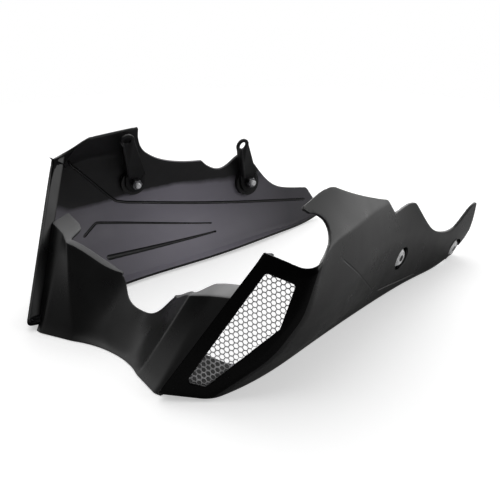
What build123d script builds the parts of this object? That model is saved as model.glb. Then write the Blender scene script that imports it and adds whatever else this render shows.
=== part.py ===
from build123d import *
import os

# Motorcycle belly pan. Millimetres, X forward, Y to the rider's left, Z up.
# While it is drawn, X = 0 is near the front lip and Y = 0 is the middle plane.
# The finished pieces are moved so that the origin is the bottom centre of the whole part.

LEFT = 1
RIGHT = -1

# Wall of the three mouldings, and the number of stations along a side panel
WALL = 3.0
STATIONS = 12
FLOOR = -2.0
GROUND = -2.3

# Pod face: the flat front corner that holds the mesh window, on the left side
POD = Plane(origin=(10.4, 92.4, 2.1), x_dir=(-0.676, 0.737, 0), z_dir=(0.727, 0.667, 0.165))
POD_EDGE_BOTTOM = (1, 0.5)
POD_EDGE_TOP = (100.3, 137.7)
RETURN_DEPTH = 16
FOLD_REACH = 9

# Mesh window and its sheet, in the pod face's own axes
WINDOW = [(93.6, 108.6), (118.4, 98.7), (110, 70.5), (76, 35), (44, 9.5), (27, 13.5)]
WINDOW_CORNER = 3
WINDOW_CUT = 8
MESH_LAP = 3
MESH_THICK = 1.2
MESH_CLEAR = 0.2
CELL_PITCH = (9.6, 4.2)
CELL_SIZE = (8.0, 6.4)

# Rails of a side panel: the point on the front fold, then the points it passes on its way to the tail
FLANGE_START = [(-21, 95, 1), (-24, 99, 1)]
FLANGE = [(-58, 112, 0), (-128, 104, 0), (-250, 91, 0), (-345, 88, 0), (-400, 91, 0), (-430, 90.5, 7.5),
          (-455, 90, 18)]
BOTTOM_FOLD = (46, -4)
BOTTOM = [(-72, 130.5, FLOOR), (-142, 122, FLOOR), (-250, 107.5, FLOOR), (-345, 100, FLOOR),
          (-400, 97, FLOOR), (-430, 95.5, 5), (-455, 95, 19)]
MIDDLE_FOLD = (100, 34)
MIDDLE = [(-155, 153, 36), (-250, 128, 34), (-345, 110.5, 26), (-455, 100, 31)]
BELT_FOLD = (126, 70)
BELT = [(-160, 164, 72), (-256, 136, 77), (-348, 116.5, 58), (-458, 103.5, 46)]
SHOULDER_FOLD = (139, 110)
SHOULDER = [(-130, 168, 123), (-172, 155, 122), (-257, 129, 117), (-352, 117, 85), (-459, 105, 60)]
CROWN_FOLD = (-106, 157, 142)
CROWN = [(-121, 140, 156), (-172, 130, 159), (-257, 125.5, 124), (-352, 117, 108), (-415, 110.5, 84),
         (-460, 105, 75)]
BOTTOM_REACH = 7
BELT_REACH = 11
SHOULDER_REACH = 9
REACH_LIMIT = 0.45

# Height of the rails on the pod edge, as parts of its length
MIDDLE_RISE = 0.3
BELT_RISE = 0.55
SHOULDER_RISE = 0.8

# Top edges seen from the side, (X, Z), from the front to the tail; each run is a smooth curve
LEFT_EDGE = [
    [(-112, 153), (-148, 156), (-160, 156.2), (-171, 154.5)],
    [(-171, 154.5), (-206, 138), (-241, 124.3), (-257, 118.5)],
    [(-257, 118.5), (-269.5, 102)],
    [(-269.5, 102), (-279, 101), (-310, 99.5), (-316, 97)],
    [(-316, 97), (-333, 77), (-352, 59), (-384, 44), (-411, 42.5), (-430, 54.5), (-449, 59.5)],
    [(-449, 59.5), (-452, 24)],
    [(-452, 24), (-445, 12), (-430, -30)],
]
RIGHT_EDGE = [
    [(-112, 153.5), (-142, 154.5), (-171.5, 155.3)],
    [(-171.5, 155.3), (-179, 138.4), (-199, 115.5), (-223, 105), (-259, 99.3)],
    [(-259, 99.3), (-271, 89), (-284, 85.2), (-296, 90.5), (-304, 96), (-317, 94.5)],
    [(-317, 94.5), (-335.5, 73.5), (-359, 49), (-374, 43.3), (-405, 36.7)],
    [(-405, 36.7), (-411, 27), (-416, -30)],
]

# Scoop in the left panel's front top, in the pod face's own axes
SCOOP_CENTRE = (127.5, 133)
SCOOP_RADIUS = 20
SCOOP_WEDGE = [(20, 155.5), (122, 112.3), (139.5, 146.3), (20, 229.6)]
SCOOP_CUT = 70

# Lines moulded in the panels, (X, Z): deep ones inside the right, shallow ones outside the left
INSIDE_LINES = [
    [(-104, 127), (-152, 77), (-160, 69.5), (-170, 66.5), (-400, 24)],
    [(-113, 41), (-132, 52), (-262, 27)],
    [(-127, 19), (-172, 18.5), (-264, 18)],
]
INSIDE_LINE_WIDTH = 3.0
INSIDE_LINE_DEPTH = 1.6
OUTSIDE_LINES = [
    [(-142, 106), (-187, 69), (-250, 22)],
    [(-262, 21), (-317, 9)],
]
OUTSIDE_LINE_WIDTH = 1.8
OUTSIDE_LINE_DEPTH = 0.5
PROUD = 1.0

# Nose panel: bottom and top of each column from the middle outwards, then the wing's end on the pod's
# return wall as a part of the wall's height and a way back
NOSE_BOTTOM = [(-14.5, 0, -2), (-16, 12, FLOOR), (-16.5, 22, FLOOR), (-16, 30, FLOOR), (-14, 38, FLOOR),
               (-12, 47, FLOOR), (-9, 56, FLOOR), (-6, 62, FLOOR), (0, 82, FLOOR)]
NOSE_TOP = [(-66, 0, 27), (-66.5, 14, 29), (-69, 27, 38), (-76, 41, 53), (-66, 55, 51),
            (-56.5, 68, 60), (-50.5, 77, 70), (-48.5, 86, 75), (-49.5, 111, 82.5)]
WING = [(-0.038, 14), (0.6, 12)]
WING_CLEAR = Vector(0, -0.8, 0)
NOSE_ROWS = [0, 0.08, 1]
LIP_FLARE = 2.2
LEDGE_FROM = 7
LEDGE_BACK = (-14, 0, 4)

# Through bolts, (X, Z), each in a round pocket with a boss behind it
LEFT_BOLTS = [(-292.7, 45), (-425, 9)]
POCKET_RADIUS = 12.5
POCKET_DEPTH = 5
BOSS_WALL = 2.5

# Strap brackets on the right panel's inside: bolt place (X, Z) and the middle of the hole
STRAPS = {
    "front_strap": ((-180, 90), (-155, -131.5, 144.5)),
    "rear_strap": ((-316.4, 62.4), (-300, -108, 112)),
}
STRAP_THICK = 2.5
STRAP_FOOT = 11
STRAP_END = 8
STRAP_HOLE = 4.25
STRAP_RIB = 9

# M6 countersunk bolt, cup washer and nut
SHANK = 3.0
HEAD = 5.6
HEAD_TOP = 3.0
SOCKET = 2.3
SOCKET_DEPTH = 2.0
WASHER = 9.5
CLEARANCE = 0.2
BOLT_HOLE = 3.3
NUT = 5.77
NUT_HIGH = 6.0
STAND_OUT = 3.0


def pod_point(place):
    """A point of the left pod face from its own two axes."""
    return POD.from_local_coords(Vector(*place, 0))


def round_corner(before, corner, after, reach):
    """Three points that replace a corner, so that two faces meet in a soft fold."""
    back = before - corner
    ahead = after - corner
    start = corner + back * min(REACH_LIMIT, reach / back.length)
    end = corner + ahead * min(REACH_LIMIT, reach / ahead.length)
    return [start, start * 0.25 + corner * 0.5 + end * 0.25, end]


def cell_normal(grid, i, j):
    """Unit normal of one cell of a grid of points."""
    rising = grid[i + 1][j + 1] - grid[i][j]
    falling = grid[i][j + 1] - grid[i + 1][j]
    return rising.cross(falling).normalized()


def offset_point(grid, i, j, depth):
    """A grid point moved inwards, so that the cells round it lie the given depth below."""
    cells = [(a, b) for a in (i - 1, i) for b in (j - 1, j)]
    cells = [(a, b) for a, b in cells if 0 <= a < len(grid) - 1 and 0 <= b < len(grid[0]) - 1]
    normals = [cell_normal(grid, a, b) for a, b in cells]
    mean = sum(normals, Vector(0, 0, 0)).normalized()
    lean = sum(normal.dot(mean) for normal in normals) / len(normals)
    return grid[i][j] - mean * (depth / lean)


def offset_grid(grid, depth):
    """The whole grid moved inwards by a depth."""
    return [[offset_point(grid, i, j, depth) for j in range(len(grid[0]))] for i in range(len(grid))]


def facets(first, second):
    """Flat triangles that join two rows of points."""
    faces = []
    for a, b, c, d in zip(first, first[1:], second[1:], second):
        faces += [Face(Wire.make_polygon([a, b, d])), Face(Wire.make_polygon([b, c, d]))]
    return faces


def layer(grid, near, far):
    """The closed solid between two depths below a grid of points."""
    outer = offset_grid(grid, near)
    inner = offset_grid(grid, far)
    faces = []
    for rows in (outer, inner):
        for first, second in zip(rows, rows[1:]):
            faces += facets(first, second)
    for i in (0, -1):
        faces += facets(outer[i], inner[i])
        faces += facets([row[i] for row in outer], [row[i] for row in inner])
    return Solid(Shell(faces))


def handed(shape, side):
    """A shape drawn on the left, or its mirror image on the right."""
    return shape if side == LEFT else mirror(shape, about=Plane.XZ)


def rail(start, fold, side):
    """Points of one rail: return flange, pod edge, soft front fold, then evenly along to the tail."""
    path = Spline(fold, *[Vector(*place) for place in side])
    along = [path @ (k / STATIONS) for k in range(1, STATIONS + 1)]
    return start + round_corner(start[1], fold, along[0], FOLD_REACH) + along


def return_point(part, back):
    """A point of the pod's return wall: a part of the edge's length up, and some way back."""
    bottom = pod_point(POD_EDGE_BOTTOM)
    edge = bottom + (pod_point(POD_EDGE_TOP) - bottom) * part
    return edge - Vector(back, back / RETURN_DEPTH, 0)


def pod_rail(part, fold, side):
    """A rail that starts on the pod edge, at a part of that edge's length."""
    return rail([return_point(part, RETURN_DEPTH), return_point(part, 0)], fold, side)


def side_grid():
    """Outer points of the left panel before its edges are cut, station by station."""
    flange = rail([Vector(*place) for place in FLANGE_START], Vector(*FLANGE[0]), FLANGE[1:])
    bottom = pod_rail(0, pod_point(BOTTOM_FOLD), BOTTOM)
    middle = pod_rail(MIDDLE_RISE, pod_point(MIDDLE_FOLD), MIDDLE)
    belt = pod_rail(BELT_RISE, pod_point(BELT_FOLD), BELT)
    shoulder = pod_rail(SHOULDER_RISE, pod_point(SHOULDER_FOLD), SHOULDER)
    crown = pod_rail(1, Vector(*CROWN_FOLD), CROWN)
    grid = []
    for f, b, m, w, s, c in zip(flange, bottom, middle, belt, shoulder, crown):
        lower = [f] + round_corner(f, b, m, BOTTOM_REACH) + [m]
        upper = round_corner(m, w, s, BELT_REACH) + round_corner(w, s, c, SHOULDER_REACH) + [c]
        grid.append(lower + upper)
    return grid


def across(shape, outline):
    """An outline in the side view, (X, Z), cut through the whole width of a shape."""
    box = shape.bounding_box()
    outside = Plane(origin=(0, box.max.Y + WALL, 0), x_dir=(1, 0, 0), z_dir=(0, -1, 0))
    return extrude(outside * outline, amount=box.size.Y + 2 * WALL)


def above_edge(shape, runs):
    """The block above and behind a panel's top edge."""
    edges = []
    for run in runs:
        edges += (Spline(*run) if len(run) > 2 else Line(*run)).edges()
    box = shape.bounding_box()
    back = box.min.X - WALL
    front = box.max.X + WALL
    top = box.max.Z + WALL
    first = runs[0][0]
    last = runs[-1][-1]
    edges += Polyline(last, (back, last[1]), (back, top), (front, top), (front, first[1]), first).edges()
    return across(shape, make_face(edges))


def scoop():
    """The block that cuts the open scoop between the pod's top and the spur behind it."""
    shape = make_face(Polyline(*SCOOP_WEDGE, close=True)) + Pos(*SCOOP_CENTRE) * Circle(SCOOP_RADIUS)
    return extrude(POD * shape, amount=SCOOP_CUT, both=True)


def window_outline(lap):
    """The window's outline, grown by a lap, in the pod face's axes."""
    outline = make_face(Polyline(*WINDOW, close=True))
    outline = fillet(outline.vertices(), WINDOW_CORNER)
    return offset(outline, lap) if lap else outline


def line_band(points, width):
    """A band of even width along a line, with round joints."""
    shape = Sketch()
    for start, end in zip(points, points[1:]):
        run = Vector(*end) - Vector(*start)
        side = Vector(-run.Y, run.X) * (width / 2 / run.length)
        corners = [Vector(*start) + side, Vector(*end) + side, Vector(*end) - side, Vector(*start) - side]
        shape += make_face(Polyline(*corners, close=True))
        shape += Pos(*end) * Circle(width / 2)
    return shape


def seat(panel, place, side):
    """The plane that touches a panel's outer face at a place seen from the side."""
    x, z = place
    hits = panel.find_intersection_points(Axis((x, 0, z), (0, side, 0)))
    point, normal = max(hits, key=lambda hit: hit[0].Y * side)
    if normal.Y * side < 0:
        normal = normal * -1
    level = Vector(1, 0, 0) - normal * normal.X
    return Plane(origin=point, x_dir=level, z_dir=normal)


def disc(plane, radius, top, bottom):
    """A round plug on a plane's axis between two heights."""
    return plane.location * Pos(0, 0, (top + bottom) / 2) * Cylinder(radius, top - bottom)


def above_ground(shape):
    """A shape without what reaches below the ground."""
    return split(shape, bisect_by=Plane.XY.offset(GROUND), keep=Keep.TOP)


def with_bolt_seat(panel, plane):
    """The panel with a pocket, the boss behind it and the bolt's hole."""
    boss = disc(plane, POCKET_RADIUS + BOSS_WALL, -WALL + CLEARANCE, -POCKET_DEPTH - WALL)
    panel = panel + above_ground(boss)
    panel = panel - disc(plane, POCKET_RADIUS, POCKET_DEPTH, -POCKET_DEPTH)
    return panel - disc(plane, BOLT_HOLE, POCKET_DEPTH, -3 * POCKET_DEPTH)


def side_panel(grid, side, edge):
    """One side moulding, with its mesh window and top edge."""
    panel = layer(grid, 0, WALL) - extrude(POD * window_outline(0), amount=WINDOW_CUT, both=True)
    panel = handed(panel, side)
    return panel - above_edge(panel, edge)


def with_lines(panel, skin, lines, width):
    """The panel with lines sunk into it, as deep as a skin layer reaches."""
    for points in lines:
        panel -= skin & across(skin, line_band(points, width))
    return panel


def left_panel(grid):
    """Left moulding: open scoop, long tail and shallow lines outside."""
    panel = side_panel(grid, LEFT, LEFT_EDGE) - scoop()
    skin = layer(grid, -PROUD, OUTSIDE_LINE_DEPTH)
    return with_lines(panel, skin, OUTSIDE_LINES, OUTSIDE_LINE_WIDTH)


def right_panel(grid):
    """Right moulding: filled front, short tail and deep lines inside."""
    panel = side_panel(grid, RIGHT, RIGHT_EDGE)
    skin = handed(layer(grid, WALL - INSIDE_LINE_DEPTH, WALL + PROUD), RIGHT)
    return with_lines(panel, skin, INSIDE_LINES, INSIDE_LINE_WIDTH)


def mesh_sheet():
    """Left mesh: a thin expanded sheet with staggered diamond cells that sits behind the window."""
    sheet = window_outline(MESH_LAP)
    field = window_outline(0)
    box = field.bounding_box()
    wide, high = (size / 2 for size in CELL_SIZE)
    cell = make_face(Polyline((-wide, 0), (0, high), (wide, 0), (0, -high), close=True))
    cells = []
    for row in range(int(box.size.Y / CELL_PITCH[1]) + 1):
        for column in range(int(box.size.X / CELL_PITCH[0]) + 2):
            shift = 0.5 * (row % 2)
            place = (box.min.X + (column + shift) * CELL_PITCH[0], box.min.Y + row * CELL_PITCH[1])
            if field.face().is_inside(Vector(*place, 0)):
                cells.append(Pos(*place) * cell)
    return extrude(POD.offset(-WALL - MESH_CLEAR) * (sheet - cells), amount=-MESH_THICK)


def nose_column(bottom, top):
    """One column of the nose from its lip to its top edge, a little flared at the lip."""
    column = [bottom + (top - bottom) * part for part in NOSE_ROWS]
    column[0] += Vector(LIP_FLARE, 0, 0)
    return column


def nose_panel():
    """Nose moulding between the two pods, with a ledge on top of each side strip."""
    wing = [return_point(part, back) + WING_CLEAR for part, back in WING]
    bottoms = [Vector(*place) for place in NOSE_BOTTOM] + wing[:1]
    tops = [Vector(*place) for place in NOSE_TOP] + wing[1:]
    half = [nose_column(bottom, top) for bottom, top in zip(bottoms, tops)]
    other = [[Vector(p.X, -p.Y, p.Z) for p in column] for column in reversed(half[1:])]
    nose = layer(other + half, 0, WALL)
    ledge = [[top, top + Vector(*LEDGE_BACK)] for top in tops[LEDGE_FROM:]]
    ledge = layer(ledge, 0, WALL)
    return above_ground(nose + ledge + mirror(ledge, about=Plane.XZ))


def strap_planes(plane, hole):
    """The planes of a strap's foot and arm, both facing into the pan, and the hole's place on the arm."""
    foot_plane = Plane(origin=plane.offset(-POCKET_DEPTH - WALL).origin, x_dir=-plane.x_dir, z_dir=-plane.z_dir)
    bend = foot_plane.from_local_coords(Vector(0, STRAP_FOOT, 0))
    reach = Vector(*hole) - bend
    arm_plane = Plane(origin=bend, x_dir=foot_plane.x_dir, z_dir=foot_plane.x_dir.cross(reach))
    return foot_plane, arm_plane, arm_plane.to_local_coords(Vector(*hole))


def strap(plane, hole):
    """A strap bracket: round foot on the boss, arm up to the hole and a rib along its front edge."""
    foot_plane, arm_plane, end = strap_planes(plane, hole)
    foot = Circle(STRAP_FOOT) + Pos(0, STRAP_FOOT / 2) * Rectangle(2 * STRAP_FOOT, STRAP_FOOT)
    foot = extrude(foot_plane * (foot - Circle(BOLT_HOLE)), amount=STRAP_THICK)
    front = end.X - STRAP_END
    arm = make_face(Polyline((-STRAP_FOOT, 0), (STRAP_FOOT, 0), (end.X + STRAP_END, end.Y), (front, end.Y),
                             close=True))
    arm = arm + Pos(end.X, end.Y) * Circle(STRAP_END) - Pos(end.X, end.Y) * Circle(STRAP_HOLE)
    rib = make_face(Polyline((-STRAP_FOOT, 0), (STRAP_THICK - STRAP_FOOT, 0), (front + STRAP_THICK, end.Y),
                             (front, end.Y), close=True))
    return foot + extrude(arm_plane * arm, amount=STRAP_THICK) + extrude(arm_plane * rib, amount=STRAP_RIB)


def turned(points):
    """A round piece from half of its section, given as (radius, height) points."""
    return revolve(make_face(Polyline(*[(r, 0, h) for r, h in points], close=True)), axis=Axis.Z)


def cup_washer():
    """Cup washer, its flat side at height 0."""
    rim = HEAD + CLEARANCE
    return turned([(SHANK + CLEARANCE, 0), (WASHER, 0), (rim, HEAD_TOP)])


def bolt(grip):
    """Countersunk bolt with a hexagon socket, through a grip below height 0."""
    end = -grip - NUT_HIGH - STAND_OUT
    body = turned([(0, end), (SHANK, end), (SHANK, 0), (HEAD, HEAD_TOP), (0, HEAD_TOP)])
    socket = Pos(0, 0, HEAD_TOP) * RegularPolygon(SOCKET, 6)
    return body - extrude(socket, amount=-SOCKET_DEPTH)


def nut(grip):
    """Hexagon nut below the grip."""
    body = RegularPolygon(NUT, 6) - Circle(SHANK + CLEARANCE / 4)
    return Pos(0, 0, -grip) * extrude(body, amount=-NUT_HIGH)


def fastened(planes, piece):
    """Copies of a fastener piece on the floor of each pocket."""
    return Compound([plane.offset(-POCKET_DEPTH).location * piece for plane in planes])


def build():
    """All the pieces by name, in place."""
    grid = side_grid()
    left = left_panel(grid)
    right = right_panel(grid)
    left_seats = [seat(left, place, LEFT) for place in LEFT_BOLTS]
    right_seats = [seat(right, place, RIGHT) for place, hole in STRAPS.values()]
    for plane in left_seats:
        left = with_bolt_seat(left, plane)
    for plane in right_seats:
        right = with_bolt_seat(right, plane)
    pieces = {"left_side_panel": left, "right_side_panel": right, "nose_panel": nose_panel()}
    mesh = mesh_sheet()
    pieces["left_mesh"] = mesh
    pieces["right_mesh"] = mirror(mesh, about=Plane.XZ)
    for plane, (name, (place, hole)) in zip(right_seats, STRAPS.items()):
        pieces[name] = strap(plane, hole)
    strap_grip = WALL + STRAP_THICK
    pieces["panel_bolts"] = fastened(left_seats, bolt(WALL))
    pieces["panel_washers"] = fastened(left_seats, cup_washer())
    pieces["panel_nuts"] = fastened(left_seats, nut(WALL))
    pieces["strap_bolts"] = fastened(right_seats, bolt(strap_grip))
    pieces["strap_washers"] = fastened(right_seats, cup_washer())
    pieces["strap_nuts"] = fastened(right_seats, nut(strap_grip))
    return pieces


def to_origin(pieces):
    """The move that puts the bottom centre of all the pieces at the origin."""
    box = Compound(list(pieces.values())).bounding_box()
    return Pos(-box.center().X, -box.center().Y, -box.min.Z)


def main():
    """Move the pieces to the origin and write one file for each."""
    pieces = build()
    shift = to_origin(pieces)
    os.makedirs("parts", exist_ok=True)
    for name, piece in pieces.items():
        export_step(shift * piece, f"parts/{name}.step")


if __name__ == "__main__":
    main()
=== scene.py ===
"""Looks of a motorcycle belly pan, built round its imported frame.

Lengths are written in millimetres, as the part is drawn, and turned to metres when a mesh is made.
X points to the front of the motorcycle, Y to the rider's left and Z up.
"""
import logging
import math
from dataclasses import dataclass, field
from enum import Enum
from typing import ClassVar, Sequence

import bmesh
import bpy
import numpy as np
from mathutils import Matrix, Vector
from mathutils.bvhtree import BVHTree


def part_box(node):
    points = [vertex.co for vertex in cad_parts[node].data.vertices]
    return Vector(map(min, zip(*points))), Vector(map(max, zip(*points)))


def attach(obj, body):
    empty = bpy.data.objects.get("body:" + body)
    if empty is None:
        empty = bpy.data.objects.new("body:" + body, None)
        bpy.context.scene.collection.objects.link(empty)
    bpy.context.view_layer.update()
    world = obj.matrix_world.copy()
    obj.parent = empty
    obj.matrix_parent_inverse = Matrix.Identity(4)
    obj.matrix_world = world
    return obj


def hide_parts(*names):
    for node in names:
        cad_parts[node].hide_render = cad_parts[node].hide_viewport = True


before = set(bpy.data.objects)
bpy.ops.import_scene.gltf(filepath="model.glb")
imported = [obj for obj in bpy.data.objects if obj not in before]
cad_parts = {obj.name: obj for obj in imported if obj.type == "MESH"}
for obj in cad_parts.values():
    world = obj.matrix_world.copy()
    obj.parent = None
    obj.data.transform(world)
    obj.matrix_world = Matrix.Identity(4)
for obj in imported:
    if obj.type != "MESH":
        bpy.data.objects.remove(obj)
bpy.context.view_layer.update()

LOG = logging.getLogger("belly_pan")
MILLIMETRE = 0.001
BODY = "root"
# Points of a node's mesh or of a turned piece's rings that are closer than this are one point, in metres.
SAME_NODE_POINT = 1e-6
SAME_RING_POINT = 1e-7
# A side of an outline whose squared length is less than this is skipped.
NO_LENGTH = 1e-12
# A ray to a panel's outside starts this far from the middle, in millimetres.
FAR_OUT = 400.0
DRUM_SIDES = 64
# A sheet's faces hold finish 0, or this one where they differ. Its inside takes the finish after each.
OTHER_FINISH = 2

Point = Sequence[float]
Pair = tuple[float, float]
Socket = bpy.types.NodeSocket


class Side(Enum):
    """The two sides of the motorcycle, as the sign of Y."""

    LEFT = 1
    RIGHT = -1


class Slot(Enum):
    """The record's material slots."""

    SHELL = "shell"
    MESH = "mesh"
    STRAP = "strap"
    FASTENER = "fastener"


class Tool(Enum):
    """What a tool does to a piece."""

    JOIN = "UNION"
    CUT = "DIFFERENCE"


class Operation(Enum):
    """How a node takes two values together."""

    SUM = "ADD"
    PRODUCT = "MULTIPLY"


def smooth_line(points: Sequence[Point], shares: np.ndarray, knots: np.ndarray | None = None) -> np.ndarray:
    """Points along the cubic spline through some given points.

    Args:
        points: the points to pass, at least two.
        shares: how far along the spline each wanted point is, from 0 to 1.
        knots: the spline's parameter at each point, or none for the way from point to point.

    Returns:
        An array with a point for each share.
    """
    given = np.array(points, float)
    share = np.asarray(shares)[:, None]
    if len(given) == 2:
        return given[0] * (1 - share) + given[1] * share
    if knots is None:
        knots = np.concatenate([[0], np.cumsum(np.linalg.norm(np.diff(given, axis=0), axis=1))])
    slopes = spline_slopes(knots, given)
    way = share[:, 0] * knots[-1]
    span = np.clip(np.searchsorted(knots, way, side="right") - 1, 0, len(knots) - 2)
    width = (knots[span + 1] - knots[span])[:, None]
    t = (way - knots[span])[:, None] / width
    return (
        (1 + 2 * t) * (1 - t) ** 2 * given[span]
        + t * (1 - t) ** 2 * width * slopes[span]
        + t**2 * (3 - 2 * t) * given[span + 1]
        + t**2 * (t - 1) * width * slopes[span + 1]
    )


def spline_slopes(knots: np.ndarray, given: np.ndarray) -> np.ndarray:
    """Slopes of the cubic spline at its points.

    Args:
        knots: the parameter of each point.
        given: the points.

    Returns:
        An array with the slope at each point.
    """
    last = len(knots) - 1
    ends = min(4, last + 1)
    width = np.diff(knots)
    system = np.zeros((last + 1, last + 1))
    right = np.zeros(given.shape)
    for row, near in ((0, slice(0, ends)), (last, slice(last + 1 - ends, last + 1))):
        powers = np.vander(knots[near] - knots[row], ends, increasing=True)
        system[row, row] = 1
        right[row] = np.linalg.solve(powers, given[near])[1]
    for i in range(1, last):
        before, after = width[i - 1], width[i]
        system[i, i - 1 : i + 2] = after, 2 * (before + after), before
        rise = (given[i] - given[i - 1]) / before
        next_rise = (given[i + 1] - given[i]) / after
        right[i] = 3 * (after * rise + before * next_rise)
    return np.linalg.solve(system, right)


def fold(before: np.ndarray, corner: np.ndarray, after: np.ndarray, reach: float) -> tuple[np.ndarray, ...]:
    """The three control points of a soft fold that replaces a corner.

    Args:
        before: the point before the corner.
        corner: the corner.
        after: the point after the corner.
        reach: how far from the corner the fold starts and ends.

    Returns:
        Its start, the corner and its end.
    """
    back = before - corner
    ahead = after - corner
    limit = 0.45
    start = corner + back * min(limit, reach / np.linalg.norm(back))
    end = corner + ahead * min(limit, reach / np.linalg.norm(ahead))
    return start, corner, end


def along_fold(controls: tuple[np.ndarray, ...], count: int) -> list[np.ndarray]:
    """Points on a fold's curve, its start and end among them.

    Args:
        controls: start, corner and end of the fold.
        count: the number of steps.

    Returns:
        A list of count + 1 points.
    """
    start, corner, end = controls
    steps = np.linspace(0, 1, count + 1)
    return [start * (1 - t) ** 2 + corner * 2 * t * (1 - t) + end * t * t for t in steps]


def run(start: np.ndarray, end: np.ndarray, count: int) -> list[np.ndarray]:
    """Points of a straight run without its two ends.

    Args:
        start: where the run starts.
        end: where it ends.
        count: the number of steps.

    Returns:
        A list of count - 1 points.
    """
    return [start + (end - start) * (k / count) for k in range(1, count)]


class Outline:
    """A closed outline in a plane, which tells how far a point is from it."""

    def __init__(self, points: np.ndarray) -> None:
        """Keeps the outline's corners."""
        self.points = np.array(points, float)

    def distance(self, places: np.ndarray) -> np.ndarray:
        """Signed distances from the outline, positive outside.

        Args:
            places: an array of points in the plane.

        Returns:
            One distance for each point.
        """
        starts = self.points
        ends = np.roll(self.points, -1, axis=0)
        nearest = np.full(len(places), np.inf)
        inside = np.zeros(len(places), bool)
        for a, b in zip(starts, ends):
            step = b - a
            squared = step @ step
            if squared < NO_LENGTH:
                continue
            t = np.clip((places - a) @ step / squared, 0, 1)
            gap = np.linalg.norm(places - a - t[:, None] * step, axis=1)
            nearest = np.minimum(nearest, gap)
            if a[1] != b[1]:
                crosses = (a[1] > places[:, 1]) != (b[1] > places[:, 1])
                reach = a[0] + (places[:, 1] - a[1]) / (b[1] - a[1]) * step[0]
                inside ^= crosses & (places[:, 0] < reach)
        return np.where(inside, -nearest, nearest)

    def rounded(self, radius: float, steps: int = 8) -> "Outline":
        """The outline with each corner replaced by an arc.

        Args:
            radius: the arc's radius.
            steps: points on each arc.

        Returns:
            A new outline.
        """
        before = np.roll(self.points, 1, axis=0)
        after = np.roll(self.points, -1, axis=0)
        rounded = []
        for a, corner, b in zip(before, self.points, after):
            back = (a - corner) / np.linalg.norm(a - corner)
            ahead = (b - corner) / np.linalg.norm(b - corner)
            half = math.acos(np.clip(back @ ahead, -1, 1)) / 2
            middle = (back + ahead) / np.linalg.norm(back + ahead)
            centre = corner + middle * radius / math.sin(half)
            start = corner + back * radius / math.tan(half) - centre
            end = corner + ahead * radius / math.tan(half) - centre
            for t in np.linspace(0, 1, steps):
                arm = start * (1 - t) + end * t
                rounded.append(centre + arm * radius / np.linalg.norm(arm))
        return Outline(np.array(rounded))

    def grown(self, lap: float) -> np.ndarray:
        """The outline's corners moved outwards.

        Args:
            lap: how far.

        Returns:
            An array of points, one for each corner.
        """
        ahead = np.roll(self.points, -1, axis=0) - np.roll(self.points, 1, axis=0)
        out = np.stack([ahead[:, 1], -ahead[:, 0]], axis=1)
        out /= np.linalg.norm(out, axis=1)[:, None]
        grown = self.points + out * lap
        if self.distance(grown[:1])[0] < 0:
            grown = self.points - out * lap
        return grown


@dataclass(frozen=True)
class PodPlane:
    """The flat front face of the left pod, with its own two axes."""

    origin: Point = (10.4, 92.4, 2.1)
    across: Point = (-0.676, 0.737, 0.0)
    normal: Point = (0.727, 0.667, 0.165)

    def axes(self) -> np.ndarray:
        """Its own axes.

        Returns:
            The ways across, up and out, as the rows of a matrix.
        """
        out = np.array(self.normal) / np.linalg.norm(self.normal)
        right = np.array(self.across) - out * (np.array(self.across) @ out)
        right /= np.linalg.norm(right)
        return np.array([right, np.cross(out, right), out])

    def point(self, spot: Point, height: float = 0.0) -> np.ndarray:
        """A point in space from a place on the face and a height above it."""
        return np.array(self.origin) + np.array([*spot, height]) @ self.axes()

    def local(self, points: np.ndarray) -> np.ndarray:
        """Points in the face's own axes: across, up and out."""
        return (points - np.array(self.origin)) @ self.axes().T


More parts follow.
